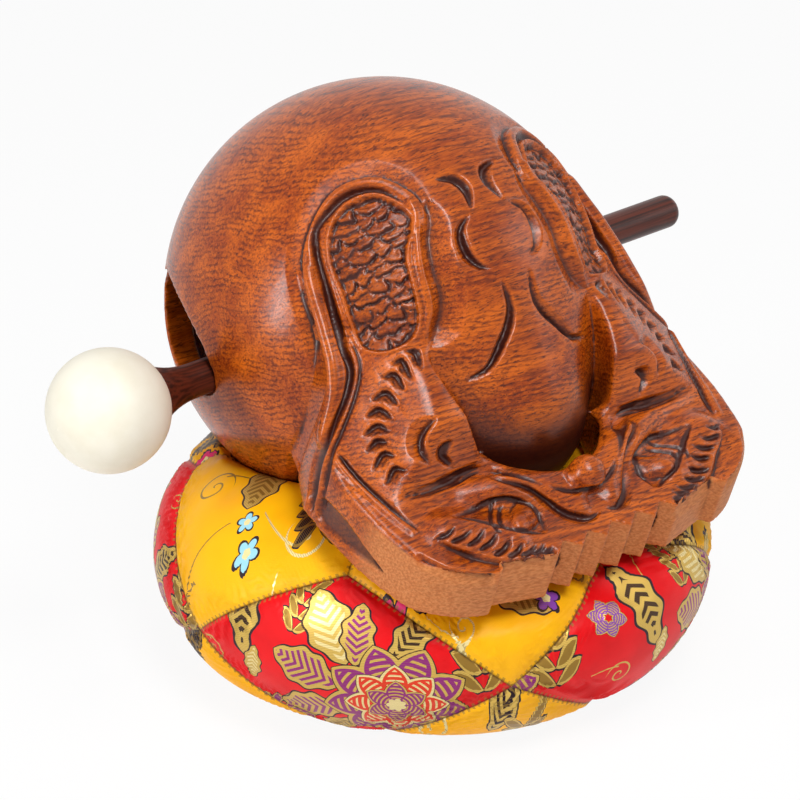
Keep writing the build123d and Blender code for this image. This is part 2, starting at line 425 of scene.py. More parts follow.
# The cover's brocade is a satin of fine threads with figures woven in: rosettes, hatched leaves,
# sprays, curls and small blossoms. Each patch is cut from another part of the repeat.
CLOTH_UNIT = 100 * MM  # for all sizes of the repeat and its figures
REPEAT_WIDTH, REPEAT_HEIGHT = 1.3, 1.0
RED_SATIN, RED_SHADE = (0.84, 0.002, 0.006, 1), (0.55, 0.001, 0.003, 1)
YELLOW_SATIN, YELLOW_SHADE = (0.98, 0.50, 0.002, 1), (0.88, 0.36, 0.001, 1)
GOLD, PALE_GOLD, BRONZE = (0.66, 0.44, 0.10, 1), (0.84, 0.70, 0.33, 1), (0.30, 0.17, 0.03, 1)
PURPLE, INK, PINK = (0.28, 0.012, 0.20, 1), (0.022, 0.010, 0.016, 1), (0.78, 0.03, 0.17, 1)
SKY, VIOLET, SCARLET = (0.33, 0.66, 0.78, 1), (0.25, 0.06, 0.42, 1), (0.80, 0.03, 0.02, 1)
THREADS = 160.0  # per unit, seen in the hatching
TWILL_SLANT, GOLD_SLANT, GOLD_GAP = 0.55, 0.12, 0.28
STITCH_LENGTH, STITCH_PITCH, STITCH_SHARE, CREASE_WIDTH = 1.2, 2.2, 0.42, 0.8  # mm, and share of pitch


class Loom:
    """Weaves figures into a cloth's colour one after another, and keeps where gold thread lies."""

    def __init__(self, wires, place, ground):
        self.wires, self.place, self.colour = wires, place, ground
        self.gold = None

    def axes(self, x, y, turn, size):
        """A figure's own axes: laid at x, y, turned in degrees, with its size as unit."""
        laid = self.wires.add("Mapping", {"vector_type": "TEXTURE"}, {
            "Vector": self.place, "Location": (x, y, 0), "Rotation": (0, 0, math.radians(turn)),
            "Scale": (size, size, 1)})
        return self.wires.axes(laid)[:2]

    def round_axes(self, x, y, turn, size):
        """Distance from a figure's middle and the angle round it."""
        x, y = self.axes(x, y, turn, size)
        return (x * x + y * y) ** 0.5, y.math("ARCTAN2", y, x)

    def weave(self, mask, thread, metal=False):
        """Lays a thread's colour over the cloth where the mask is 1."""
        self.colour = self.wires.mix(mask, self.colour, thread)
        if metal:
            self.gold = mask if self.gold is None else self.gold | mask

    def leaf(self, x, y, turn, size, plump, core):
        """A pointed leaf: dark outline, bright edge, and a core hatched on either side of its rib."""
        outline, rim, ripples, ripple_height = 0.03, 0.07, 22, 0.025
        hatch_along, hatch_across = 9, 7
        along, across = self.axes(x, y, turn, size)
        away = abs(across)
        ripple = (along * ripples).sine() * ripple_height
        form = along * (1 - along) * 4 * plump + ripple * (along > 0) - away
        self.weave(form > -outline, INK)
        self.weave(form > 0.0, GOLD, metal=True)
        hatch = (along * hatch_along - away * hatch_across).fract() > 0.5
        self.weave((form > rim) & hatch, core)

    def rosette(self, x, y, turn, size, petals, start, core, plump, edge=GOLD):
        """A ring of pointed petals, each with a dark outline, a bright edge and a coloured core."""
        outline, rim, veined, veins, vein_gap = 0.025, 0.075, 0.15, 7, 0.62
        out, angle = self.round_axes(x, y, turn, size)
        step = 2 * math.pi / petals
        fold = ((angle / step).fract() - 0.5) * step
        along, away = (out - start) / (1 - start), abs(fold) * out
        form = along * (1 - along) * 4 * plump - away
        self.weave(form > -outline, INK)
        self.weave(form > 0.0, edge, metal=True)
        self.weave(form > rim, core)
        self.weave((form > veined) & ((along * veins).fract() > vein_gap), edge)

    def disc(self, x, y, size, petals, depth, thread, turn=0.0, metal=False):
        """A scalloped disc."""
        out, angle = self.round_axes(x, y, turn, size)
        form = 1 - depth + depth * abs((angle * (petals / 2)).sine()) - out
        self.weave(form > 0, thread, metal)

    def curl(self, x, y, turn, size, thread=GOLD, thin=0.055):
        """A thin spiral with a tail that bends away from it."""
        turns, spiral_end = 1.6, 0.95
        tail_start, tail_end, tail_drop, tail_bend = 0.55, 2.2, 0.55, -0.35
        along, across = self.axes(x, y, turn, size)
        out = (along * along + across * across) ** 0.5
        angle = along.math("ARCTAN2", across, along)
        wound = (out * turns - angle / (2 * math.pi)).fract()
        spiral = (abs(wound - 0.5) < thin * turns) & (out < spiral_end)
        bend = along * along * tail_bend - 0.05
        on_tail = (along > tail_start) & (along < tail_end)
        tail = (abs(across + bend + tail_drop) < thin) & on_tail
        self.weave(spiral | tail, thread, metal=True)

    def blossom(self, x, y, size, thread, turn=0.0):
        """A small five-petalled blossom with a bright eye."""
        petals, outline, eye = 5, 1.22, 0.36
        self.disc(x, y, size * outline, petals, 0.45, INK, turn)
        self.disc(x, y, size, petals, 0.5, thread, turn)
        self.disc(x, y, size * eye, petals, 0.2, PALE_GOLD, turn)

    def spray(self, x, y, turn, size, edge=GOLD, core=BRONZE):
        """Pairs of small leaves slanting from a stem of two units, all one folded leaf."""
        pairs, pitch, reach, plump, thinness = 4, 0.5, 0.62, 2.2, 0.42
        outline, rim, stem = 0.045, 0.07, 0.03
        along, across = self.axes(x, y, turn, size)
        out = abs(across)
        share = (along - out) / pitch
        leaf = out * (reach - out) * plump - abs(share.fract() - 0.5) * thinness
        within = (share > 0) & (share < pairs)
        self.weave((leaf > -outline) & within, INK)
        self.weave(((leaf > 0) | (stem - out)) & within, edge, metal=True)
        self.weave((leaf > rim) & within, core)


def red_figures(loom):
    """The red cloth's figures: a large rosette among leaves, with sprays and curls between."""
    for curl in ((-0.22, 0.37, 200, 0.065), (0.44, 0.34, -20, 0.075), (-0.52, -0.10, 140, 0.065),
                 (0.14, 0.40, 75, 0.055), (0.56, -0.30, 250, 0.06)):
        loom.curl(*curl)
    loom.spray(-0.16, 0.10, 80, 0.11)
    loom.spray(0.52, -0.10, 95, 0.16)
    loom.spray(-0.42, -0.36, 25, 0.13, core=PURPLE)
    for leaf in ((-0.42, 0.36, -80, 0.40, 0.17, INK), (-0.30, 0.02, -100, 0.16, 0.22, PALE_GOLD),
                 (0.05, 0.04, 118, 0.30, 0.30, PALE_GOLD), (0.08, 0.04, 88, 0.24, 0.24, PURPLE),
                 (0.20, 0.08, 52, 0.26, 0.22, INK), (0.02, -0.06, 158, 0.26, 0.32, PURPLE),
                 (0.04, -0.16, 196, 0.28, 0.26, PURPLE), (0.06, -0.24, 226, 0.22, 0.24, BRONZE)):
        loom.leaf(*leaf)
    loom.rosette(0.22, -0.12, 8, 0.26, 9, 0.30, PURPLE, 0.30)
    loom.rosette(0.22, -0.12, 24, 0.18, 8, 0.22, SCARLET, 0.32, PALE_GOLD)
    loom.rosette(0.22, -0.12, 0, 0.115, 6, 0.10, PURPLE, 0.38)
    loom.disc(0.22, -0.12, 0.035, 7, 0.25, PALE_GOLD, metal=True)
    loom.rosette(-0.20, -0.36, 15, 0.11, 7, 0.18, PURPLE, 0.36)
    loom.rosette(-0.56, 0.16, 5, 0.08, 6, 0.15, VIOLET, 0.40)


def yellow_figures(loom):
    """The yellow cloth's figures: loose curls, leaves and small blossoms."""
    thickness = {BRONZE: 0.045, PALE_GOLD: 0.055}
    for x, y, turn, size, thread in (
            (-0.30, 0.10, 250, 0.085, BRONZE), (-0.14, 0.20, 60, 0.075, PALE_GOLD),
            (0.20, 0.03, 190, 0.09, PALE_GOLD), (0.42, 0.26, 20, 0.08, BRONZE),
            (0.02, -0.24, 140, 0.085, PALE_GOLD), (-0.48, -0.18, 300, 0.075, BRONZE),
            (-0.02, 0.44, 170, 0.05, PALE_GOLD)):
        loom.curl(x, y, turn, size, thread, thin=thickness[thread])
    for leaf in ((0.08, 0.30, 30, 0.24, 0.24, BRONZE), (0.02, 0.27, 150, 0.22, 0.24, INK),
                 (0.28, -0.26, 10, 0.28, 0.24, INK), (-0.38, -0.38, 60, 0.24, 0.26, BRONZE),
                 (0.40, 0.06, 70, 0.20, 0.24, INK)):
        loom.leaf(*leaf)
    loom.spray(-0.54, 0.18, 75, 0.13, BRONZE, INK)
    loom.spray(0.56, -0.16, 100, 0.12)
    loom.spray(-0.16, -0.42, 40, 0.12, BRONZE, INK)
    for blossom in ((-0.24, 0.38, 0.055, PINK), (-0.36, 0.33, 0.042, PINK, 40),
                    (0.28, 0.38, 0.045, VIOLET, 20), (-0.12, -0.08, 0.042, SKY, 10),
                    (-0.21, -0.14, 0.034, SKY, 50), (0.48, -0.38, 0.05, PINK, 15)):
        loom.blossom(*blossom)


def brocade(name, satin, shade, figures):
    """Satin in two tones with its woven figures and metallic gold thread, stitched at the seams."""
    material, wires = new_finish(name, Specular_IOR_Level=0.22)
    place = wires.add("UVMap", {"uv_map": "cloth"})
    u, v, _ = wires.axes(place)
    across = ((u / REPEAT_WIDTH).fract() - 0.5) * REPEAT_WIDTH
    up = ((v / REPEAT_HEIGHT).fract() - 0.5) * REPEAT_HEIGHT
    repeat = wires.add("CombineXYZ", None, {0: across, 1: up})
    slub = wires.noise(place, scale=5.0, detail=3.0)
    twill = ((u * TWILL_SLANT + v) * THREADS).fract()
    ground = wires.mix(slub.fade(0.3, 0.75) * 0.55 + 0.12 * twill, satin, shade)
    loom = Loom(wires, repeat, ground)
    figures(loom)
    thread = ((v - u * GOLD_SLANT) * THREADS).fract()
    worked = wires.mix(loom.gold * (thread < GOLD_GAP) * 0.55, loom.colour, BRONZE)
    seam, seam_place = wires.attribute("seam"), wires.attribute("seam_place")
    stitch = (seam < STITCH_LENGTH) & ((seam_place / STITCH_PITCH).fract() < STITCH_SHARE)
    worked = wires.mix(stitch * 0.60, worked, BRONZE)
    worked = wires.mix((1 - seam.fade(0.0, CREASE_WIDTH)) * 0.55, worked, INK)
    rough = 0.40 + 0.12 * slub - 0.08 * loom.gold
    wires.paint(Base_Color=worked, Metallic=0.55 * loom.gold, Roughness=rough)
    wires.bump(twill, 0.30, 0.2 * MM)
    return material


cloths = {
    "red_brocade": brocade("red_brocade", RED_SATIN, RED_SHADE, red_figures),
    "yellow_brocade": brocade("yellow_brocade", YELLOW_SATIN, YELLOW_SHADE, yellow_figures),
}
# Where a kind's first patch is cut, from the repeat's middle, and the step to the next
CUT_OUT = {"side": (0.0, 0.0), "top": (0.13, 0.55), "bottom": (0.45, 0.20)}
CUT_STEP = {"side": (-0.33, 0.03), "top": (0.55, 0.38), "bottom": (0.55, 0.38)}
# Round the side the cloth is laid out flat: its radius there, then the radius and middle of its bulge
SIDE_RADIUS, BULGE_RADIUS, BULGE_OUT, BULGE_UP = 98 * MM, 42 * MM, 60 * MM, 38 * MM
for name, directions in corners.items():
    patch = copy_of(pad, "cloth_" + name)
    middle = sum(directions)
    bpy.ops.object.mode_set(mode="EDIT")
    for start, end in sides_of(directions):
        plane = np.cross(start, end)
        outwards = plane if plane @ middle < 0 else -plane
        bpy.ops.mesh.select_all(action="SELECT")
        bpy.ops.mesh.bisect(plane_co=HEART, plane_no=outwards, clear_outer=True)
    bpy.ops.object.mode_set(mode="OBJECT")
    spots = points_of(patch)
    turn = np.arctan2(spots[:, 0], -spots[:, 1])
    centre_turn = math.atan2(middle[0], -middle[1])
    turn = (turn - centre_turn + math.pi) % (2 * math.pi) - math.pi
    out = np.hypot(spots[:, 0], spots[:, 1])
    if name.startswith("side"):
        across = turn * SIDE_RADIUS
        up = BULGE_RADIUS * np.arctan2(spots[:, 2] - BULGE_UP, out - BULGE_OUT)
    else:
        across, up = np.sin(turn) * out, np.cos(turn) * out
    for title, values in zip(("seam", "seam_place"), nearest_seam(spots, sides_of(directions))):
        layer = patch.data.attributes.new(title, "FLOAT", "POINT")
        layer.data.foreach_set("value", (values / MM).astype(np.float32))
    layer = patch.data.uv_layers.new(name="cloth")
    of_loop = np.empty(len(patch.data.loops), dtype=np.int32)
    patch.data.loops.foreach_get("vertex_index", of_loop)
    kind, number = name.split("_patch_")
    cut = np.array(CUT_OUT[kind]) + np.array(CUT_STEP[kind]) * (int(number) - 1)
    cut += 0.5 * np.array((REPEAT_WIDTH, REPEAT_HEIGHT))
    flat = np.stack([across, up], axis=1)[of_loop] / CLOTH_UNIT + cut
    layer.uv.foreach_set("vector", flat.ravel())
    finish_with(patch, "SOLIDIFY", thickness=COVER_THICKNESS, offset=-1)
    bpy.ops.object.shade_smooth()
    slot = "red_brocade" if name.startswith("side") else "yellow_brocade"
    patch.data.materials.append(cloths[slot])
    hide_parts(name)
    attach(patch, "cushion")

move_points(pad, cover_points - cover_normals * WADDING_INSET)
COTTON = (0.80, 0.77, 0.70, 1)
wadding, wires = new_finish("cotton_wadding", Base_Color=COTTON, Roughness=0.95)
fluff = wires.add("TexNoise", None, {"Scale": 400.0, "Detail": 5.0})
wires.bump(fluff, 0.5, 1.0 * MM)
pad.data.materials.append(wadding)
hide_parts("cushion_filling")
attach(pad, "cushion")

# Fish. One block of reddish hardwood, hollowed through its ears and slit, its two mirrored fish
# and toothed head carved in relief with gouges, then oiled and polished; the cuts stay darker.
CARVE_VOXEL = 0.7 * MM
FISH_TRIANGLES = 195000
PICTURE_SIDE = 800
FOCAL = LENS / SENSOR * PICTURE_SIDE  # in pixels of the picture
STAIN_REACH = 4.5  # pixels either side of a cut's floor that stay dark
STAIN_CORE, STAIN_SPREAD = 1.3, 3  # stain at a cut's floor, and how fast it fills the walls
THIN_TIP, TIP_EDGE = 0.02, 1e-3  # shares of a cut's size and length left at its tips
MARGIN, ANY_REACH, CHUNK = 2, 1e3, 3000  # pixels, pixels, vertices sought at a time
ROLL_TIPS = (0.05, 0.05)
BALL_SPACING = 0.4  # of a mass's radius
# Rounded masses left standing before the fine cuts: points (across, forward, up) in mm, and radius
MASSES = {
    "outer_roll": ([(57, 16, 42), (60, 29, 36), (62.5, 41.5, 29), (66, 51, 20.5), (71, 57, 10)], 4.0),
    "brow_roll": ([(42, 93, 3), (30, 97.5, 5.5), (18, 101.5, 4.5), (10, 108, 2.5), (7, 113, 0)], 5.4),
    "brow_ridge": ([(65, 88, 3), (56, 90, 4), (44, 91, 3.5)], 4.2),
    "rim_cord": ([(5, 104, 7), (14, 99.5, 6.5), (21.5, 93, 6), (27, 85.5, 6)], 2.4),
    "rim_knot": ([(27.3, 84.5, 5.5)], 3.6),
    "nose_ball": ([(0, 107.5, 9.5)], 6.8),
    "eye_mound": ([(56, 104, -6), (46, 107, -7), (36, 111, -8)], 14.0),
}


def lay_masses(piece):
    """Adds the rounded masses on both sides as rows of balls, to be fused with the block."""
    balls = [piece]
    for points, radius in MASSES.values():
        points = np.array(points, dtype=float) * MM
        lengths = np.r_[0, np.cumsum(np.linalg.norm(np.diff(points, axis=0), axis=1))]
        count = max(1, int(lengths[-1] / (BALL_SPACING * radius * MM)) + 1)
        stations = np.linspace(0, lengths[-1], count)
        row = np.stack([np.interp(stations, lengths, points[:, axis]) for axis in range(3)], axis=1)
        for side in (-1, 1):
            for place in fish_place(row * (side, 1, 1)):
                bpy.ops.mesh.primitive_ico_sphere_add(
                    subdivisions=3, radius=radius * MM, location=place)
                balls.append(bpy.context.object)
    bpy.ops.object.select_all(action="DESELECT")
    for ball in balls:
        ball.select_set(True)
    bpy.context.view_layer.objects.active = piece
    bpy.ops.object.join()


def neighbours_mean(values, edges, count):
    """Mean of a value over each vertex's neighbours."""
    total = np.zeros_like(values)
    np.add.at(total, edges[:, 0], values[edges[:, 1]])
    np.add.at(total, edges[:, 1], values[edges[:, 0]])
    return total / count[:, None] if values.ndim == 2 else total / count


def edges_of(piece):
    """Vertex pairs of a mesh's edges, and the number of neighbours of each vertex."""
    flat = np.empty(len(piece.data.edges) * 2, dtype=np.int32)
    piece.data.edges.foreach_get("vertices", flat)
    return flat.reshape(-1, 2), np.bincount(flat, minlength=len(piece.data.vertices)).astype(float)


def softened(values, share):
    """Moves a value of the fish's vertices by a share of the way to their neighbours' mean."""
    return values + share * (neighbours_mean(values, edges, count) - values)


def ramp(values, low, high):
    """0 at low, 1 at high, smooth between them."""
    share = np.clip((values - low) / (high - low), 0, 1)
    return share * share * (3 - 2 * share)


def picture_places(points):
    """Pixels at which points of the left side show in the picture, across and down."""
    rays = points - np.array(camera.location)
    depth = -rays @ np.array(camera_way)
    across = rays @ np.array(camera_turn @ Vector((1, 0, 0)))
    up = rays @ np.array(camera_turn @ Vector((0, 1, 0)))
    return np.stack([across, -up], axis=1) * (FOCAL / depth)[:, None] + PICTURE_SIDE / 2


def smooth_line(points, closed=False):
    """A smooth line through given points, sampled at every pixel."""
    points = np.array(points, dtype=float)
    ring = np.vstack([points[-1], points, points[:2]]) if closed else np.vstack(
        [2 * points[0] - points[1], points, 2 * points[-1] - points[-2]])
    line = []
    for before, start, end, after in zip(ring, ring[1:], ring[2:], ring[3:]):
        steps = np.linspace(0, 1, int(np.linalg.norm(end - start)) + 2)[:-1, None]
        line.append(0.5 * (2 * start + (end - before) * steps
                           + (2 * before - 5 * start + 4 * end - after) * steps**2
                           + (3 * start - before - 3 * end + after) * steps**3))
    return np.vstack(line + [points[:1] if closed else points[-1:]])


def across_line(line, reach):
    """Carvable vertices near a line: indices, distance (right of travel is +), share along it."""
    low, high = line.min(axis=0) - reach, line.max(axis=0) + reach
    near = np.flatnonzero(carvable & np.all((spots > low) & (spots < high), axis=1))
    nearest = np.concatenate([
        np.argmin(((spots[part, None] - line[None]) ** 2).sum(axis=2), axis=1)
        for part in np.array_split(near, len(near) // CHUNK + 1)])
    offset = spots[near] - line[nearest]
    travel = np.gradient(line, axis=0)[nearest]
    side = np.sign(travel[:, 0] * offset[:, 1] - travel[:, 1] * offset[:, 0])
    distance = np.linalg.norm(offset, axis=1)
    close = distance < reach
    return near[close], (side * distance)[close], (nearest / (len(line) - 1))[close]


def taper(share, tips):
    """1 along the middle of a line, falling over the given shares of its length to its tips."""
    rise = (share + TIP_EDGE) / (tips[0] + TIP_EDGE)
    fall = (1 - share + TIP_EDGE) / (tips[1] + TIP_EDGE)
    return np.minimum(1, np.minimum(rise, fall))


def gouge(points, right, left, depth, shift=0.0, tips=(0.2, 0.2), stain=1.0):
    """A V-cut: walls reach right and left of the line in pixels, depth in mm, tips taper to points."""
    line = smooth_line(points)
    near, side, share = across_line(line, max(right, left) + abs(shift) + MARGIN)
    full = np.sqrt(np.clip(taper(share, tips), THIN_TIP, 1))
    side = side - shift
    wall = np.where(side > 0, right, left) * full
    cut = np.clip(1 - np.abs(side) / wall, 0, 1)
    lift[near] -= depth * full * cut
    soot = np.clip(STAIN_CORE - np.abs(side) / STAIN_REACH, 0, 1) * np.clip(cut * STAIN_SPREAD, 0, 1)
    dark[near] = np.maximum(dark[near], stain * full * soot)


def roll(points, width, height):
    """A rounded bead left standing along a line, width in pixels and height in mm."""
    line = smooth_line(points)
    near, side, share = across_line(line, width + MARGIN)
    bead = np.clip(1 - (side / (width / 2)) ** 2, 0, 1)
    lift[near] += height * taper(share, ROLL_TIPS) * np.sqrt(bead)


def inside(points, edge):
    """Carvable vertices inside a closed outline, and how far they are past its edge, 0 to 1."""
    line = smooth_line(points, closed=True)
    near, side, _ = across_line(line, ANY_REACH)
    turn = np.sum(line[:-1, 0] * line[1:, 1] - line[1:, 0] * line[:-1, 1])
    depth = side * np.sign(turn)
    return near[depth > 0], ramp(depth[depth > 0], 0, edge)


body = copy_of(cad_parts["fish_body"], "carved_fish")
merged(body)
lay_masses(body)
finish_with(body, "REMESH", mode="VOXEL", voxel_size=CARVE_VOXEL)

# The block's main forms are rounded over, all but the sawn teeth and the bulb. The rounding sets in
# over these distances in mm: off the bulb and nose, forward, back from the teeth, up from the underside
OFF_BULB, FORWARD, TEETH, UNDERSIDE = (0.2, 2.5), (8, 16), (111, 117), (-14, -4)
ROUNDING_ROUNDS, ROUNDING_SHARE = 40, 0.6
points, (edges, count) = points_of(body), edges_of(body)
local = fish_axes(points) / MM
on_head = ramp(egg_gap(local * MM) / MM, *OFF_BULB) * ramp(local[:, 1], *FORWARD)
on_head *= 1 - ramp(local[:, 1], *TEETH)
on_head *= ramp(local[:, 2], *UNDERSIDE)
for _ in range(ROUNDING_ROUNDS):
    points = softened(points, ROUNDING_SHARE * on_head[:, None])
move_points(body, points)

# Vertices that the picture shows on the left side carry the cuts, and their twins on the right
CHAMBER_REACH, HINDMOST, LEAST_FACING, RAY_START = 71, -12, 0.05, 1.5
normals = normals_of(body)
lefts, left_normals = points.copy(), normals.copy()
flip = points[:, 0] > 0
lefts[flip, 0] *= -1
left_normals[flip, 0] *= -1
spots = picture_places(lefts)
facing = left_normals @ np.array(camera_way)
local = fish_axes(points) / MM
outside = (np.linalg.norm(local, axis=1) > CHAMBER_REACH) & (local[:, 1] > HINDMOST)
outside &= facing > LEAST_FACING
tree = BVHTree.FromObject(body, bpy.context.evaluated_depsgraph_get())
carvable = outside.copy()
for vertex in np.flatnonzero(outside):
    start = Vector(lefts[vertex]) + camera_way * RAY_START * MM
    carvable[vertex] = tree.ray_cast(start, camera_way)[0] is None
lift, dark = np.zeros(len(points)), np.zeros(len(points))

# Border of each fish: a slope cut into the bulb, a rounded roll, a groove and thin inner ridges
OUTER_ROLL = [(423, 217), (407, 196), (373, 182), (335, 196), (312, 237), (308, 276), (321, 325),
              (331, 366), (331, 394), (322, 422), (311, 451), (304, 481), (303, 513), (309, 526)]
ROLL_GROOVE = [(402, 202), (376, 189), (345, 196), (322, 220), (315, 237), (318, 262), (331, 304),
               (343, 346), (351, 370), (347, 397), (336, 421), (325, 445), (317, 470), (311, 513)]
INNER_RIDGE = [(346, 340), (355, 366), (351, 394), (339, 426), (328, 451), (323, 470), (315, 513)]
gouge(OUTER_ROLL, 15, 1.5, 2.0, shift=6, tips=(0.08, 0.05), stain=0.2)
roll(OUTER_ROLL, 13, 1.0)
gouge(ROLL_GROOVE, 5, 6, 2.6, tips=(0.15, 0.05), stain=0.75)
roll(INNER_RIDGE, 5, 0.8)
gouge(INNER_RIDGE, 2.5, 3, 1.2, shift=-5, stain=0.7)

# Scale panel: sunk, with a fine raised edge, covered in hand-cut overlapping scales. Their rows wander
# and slip, and each scale tilts up to its dark edge; lengths in pixels, heights in mm
PANEL = [(411, 216), (398, 203), (376, 195), (356, 199), (338, 213), (328, 237), (330, 264),
         (342, 295), (352, 325), (363, 348), (385, 352), (412, 340), (420, 317), (414, 285),
         (407, 256), (412, 230)]
PANEL_DEPTH, PANEL_EDGE = 1.8, 3
SCALE_LENGTH, SCALE_ROW, SCALE_TURN, SCALE_SKEW = 25.0, 11.0, math.radians(-22), 0.35
SCALE_RISE, SCALE_SINK, EDGE_WIDTH, EDGE_DEPTH = 1.3, 0.4, 1.4, 1.3
SCALE_STAIN, EDGE_STAIN = 0.20, 0.70
near, sunk = inside(PANEL, PANEL_EDGE)
lift[near] -= PANEL_DEPTH * sunk
roll(PANEL + PANEL[:1], 4, 0.9)
place = spots[near] - spots[near].mean(axis=0)
warp = 2.2 * np.sin(place[:, 1] / 5.1 + 0.7) + 1.9 * np.sin(place[:, 0] / 6.3 + place[:, 1] / 9)
warp += 0.7 * np.sin(place[:, 0] / 2.9 - place[:, 1] / 4.1)
level, slant = math.cos(SCALE_TURN), math.sin(SCALE_TURN)
along = place[:, 0] * level + place[:, 1] * slant + 1.6 * warp
down = place[:, 1] * level - place[:, 0] * slant + 0.7 * warp
row = np.floor(down / SCALE_ROW)
slip = np.sin(row * 12.7) * 0.5 + 0.5 * (row % 2)
cell = (along / SCALE_LENGTH + slip) % 1 * 2 - 1
cell += SCALE_SKEW * (1 - cell**2)
arch = 0.15 + 0.8 * np.sqrt(np.clip(1 - cell**2, 0, 1))
height = down / SCALE_ROW - row
edge = np.exp(-(((height - arch) * SCALE_ROW / EDGE_WIDTH) ** 2))
tilt = np.where(height < arch, height / arch, (height - arch) * 0.5)
uneven = 0.75 + 0.35 * np.sin(np.floor(along / SCALE_LENGTH + slip) * 5.3 + row * 3.1)
lift[near] += sunk * uneven * (SCALE_RISE * tilt - EDGE_DEPTH * edge - SCALE_SINK)
dark[near] = np.maximum(dark[near], sunk * (SCALE_STAIN + EDGE_STAIN * edge))

# Wall between fish and pearl, with its own roll
PEARL_ROLL = [(405, 200), (414, 214), (417, 235), (419, 262), (425, 290), (430, 311), (427, 332)]
WALL_FOOT = [(426, 200), (431, 220), (430, 240), (435, 269), (442, 290), (443, 311), (437, 332),
             (430, 346)]
roll(PEARL_ROLL, 10, 1.0)
gouge(WALL_FOOT, 12, 24, 3.4, tips=(0.25, 0.15), stain=0.5)

# Gills along the fish's cheek, then the two large crescents
GILLS = [[(405.6, 350), (417.5, 350.8), (422.4, 368.2)],
         [(391.3, 364.3), (402.4, 359.5), (412.8, 380.2)],
         [(381.7, 377), (395.2, 373.8), (405.6, 390.6)], [(371.3, 400.2), (385.7, 391.4), (399.2, 405)],
         [(365, 416.9), (379.3, 408.1), (393.7, 419.3)], [(363.4, 435.2), (376.9, 424.4), (390.5, 431.3)],
         [(366.5, 450.4), (376.9, 440), (389.7, 442.4)], [(372.9, 469.5), (382.5, 452.8), (396.8, 456)],
         [(385.7, 484.7), (393.7, 467.9), (408, 470.3)]]
for gill in GILLS:
    gouge(gill, 10, 1.8, 2.6, tips=(0.35, 0.35))
    gouge(gill, 1.5, 1.5, 0.7, shift=7, tips=(0.4, 0.4), stain=0.7)
LARGE_CRESCENT = [(436, 419), (424, 432), (421.5, 446), (431, 463.6)]
SMALL_CRESCENT = [(452.7, 440.8), (444.7, 454.4), (453.5, 467)]
gouge(LARGE_CRESCENT, 15, 4, 3.6, tips=(0.35, 0.35))
gouge(SMALL_CRESCENT, 9, 3.5, 3.0, tips=(0.35, 0.35))

# Curved cuts on the pearl: line, and the reach of its walls right and left
PEARL_SPREAD, PEARL_DEPTH = 1.3, 3.4
PEARL_CUTS = [
    ([(435, 179), (454, 178), (467, 189), (472, 209)], 6, 4),
    ([(469, 215), (462, 231), (468, 251), (479, 264), (491, 268)], 8, 3),
    ([(501.8, 279.6), (510.7, 301), (511.6, 319), (505.4, 338.6), (489.3, 368.3), (464.6, 381.8)], 6, 3),
]
for cut, right, left in PEARL_CUTS:
    gouge(cut, PEARL_SPREAD * right, PEARL_SPREAD * left, PEARL_DEPTH, tips=(0.4, 0.4))

# Brow: a fluted groove, and the lines that run round the brow roll to the nose
BROW_GROOVE = [(398, 498), (425, 491), (449, 481), (465, 473), (481, 467)]
ROLL_LINE = [(487, 475), (522, 484), (546, 499), (568, 512), (589, 515.5), (600, 510)]
ROLL_INNER_LINE = [(485, 472), (516, 475), (546, 486)]
NOSE_CREASE = [(548, 485), (560, 489), (573, 491), (587, 490), (601, 486)]
FLUTES = (-4, 0, 4)
gouge(BROW_GROOVE, 8, 7, 2.2, tips=(0.5, 0.3), stain=0.45)
for offset in FLUTES:
    gouge(BROW_GROOVE, 1.6, 1.6, 1.0, shift=offset, tips=(0.6, 0.1), stain=0.75)
gouge(ROLL_LINE, 8, 2, 2.6, tips=(0.3, 0.15), stain=0.8)
gouge(ROLL_INNER_LINE, 2.5, 2.5, 1.1, tips=(0.3, 0.3), stain=0.7)
gouge(NOSE_CREASE, 3, 3, 1.6, tips=(0.3, 0.2), stain=0.8)

# Eye: lids, ball and iris, with a row of lashes below and the steps of the chin fins
UPPER_LID = [(453, 516), (468, 510), (488, 501), (507, 498), (525, 502.5), (540, 516), (548, 532)]
LOWER_LID = [(453, 516), (474, 519), (494, 524), (513, 529), (531, 532), (548, 533)]
IRIS = [(505, 502), (501, 511), (503, 521), (509, 527)]
SOCKET_DEPTH, SOCKET_EDGE = 1.2, 5
EYEBALL, EYEBALL_REACH, EYEBALL_HEIGHT = np.array((525, 516)), 14.0, 2.6
near, sunk = inside(UPPER_LID + LOWER_LID[-2:0:-1], SOCKET_EDGE)
lift[near] -= SOCKET_DEPTH * sunk
gouge(UPPER_LID, 4.5, 2, 2.0, tips=(0.3, 0.2))
gouge(LOWER_LID, 2, 3.5, 1.6, tips=(0.3, 0.2))
away = np.linalg.norm(spots - EYEBALL, axis=1) / EYEBALL_REACH
ball = EYEBALL_HEIGHT * np.sqrt(np.clip(1 - away**2, 0, 1))
lift += np.where(carvable & (away < 1), ball, 0)
gouge(IRIS, 3.5, 1.5, 1.6, tips=(0.3, 0.3))
gouge(IRIS, 3, 1.5, 1.2, shift=9, tips=(0.3, 0.3))
LASHES = [((455, 525), (435, 538)), ((471, 528), (450, 542)), ((484, 527), (467, 546)),
          ((497, 531), (479, 550)), ((510, 538), (493, 555)), ((523, 541), (507, 556)),
          ((536, 542), (520, 555)), ((543, 542), (533, 553)), ((551, 545), (543, 551.5))]
LASH_BEND = (3, 1)
for top, foot in LASHES:
    middle = [(high + low) / 2 + bend for high, low, bend in zip(top, foot, LASH_BEND)]
    gouge([top, middle, foot], 2, 6, 2.0, tips=(0.4, 0.25))
CHIN_STEP = [(435, 538.5), (453, 547), (476, 554.6), (499, 559), (522, 558.4), (543, 554.6),
             (558, 548)]
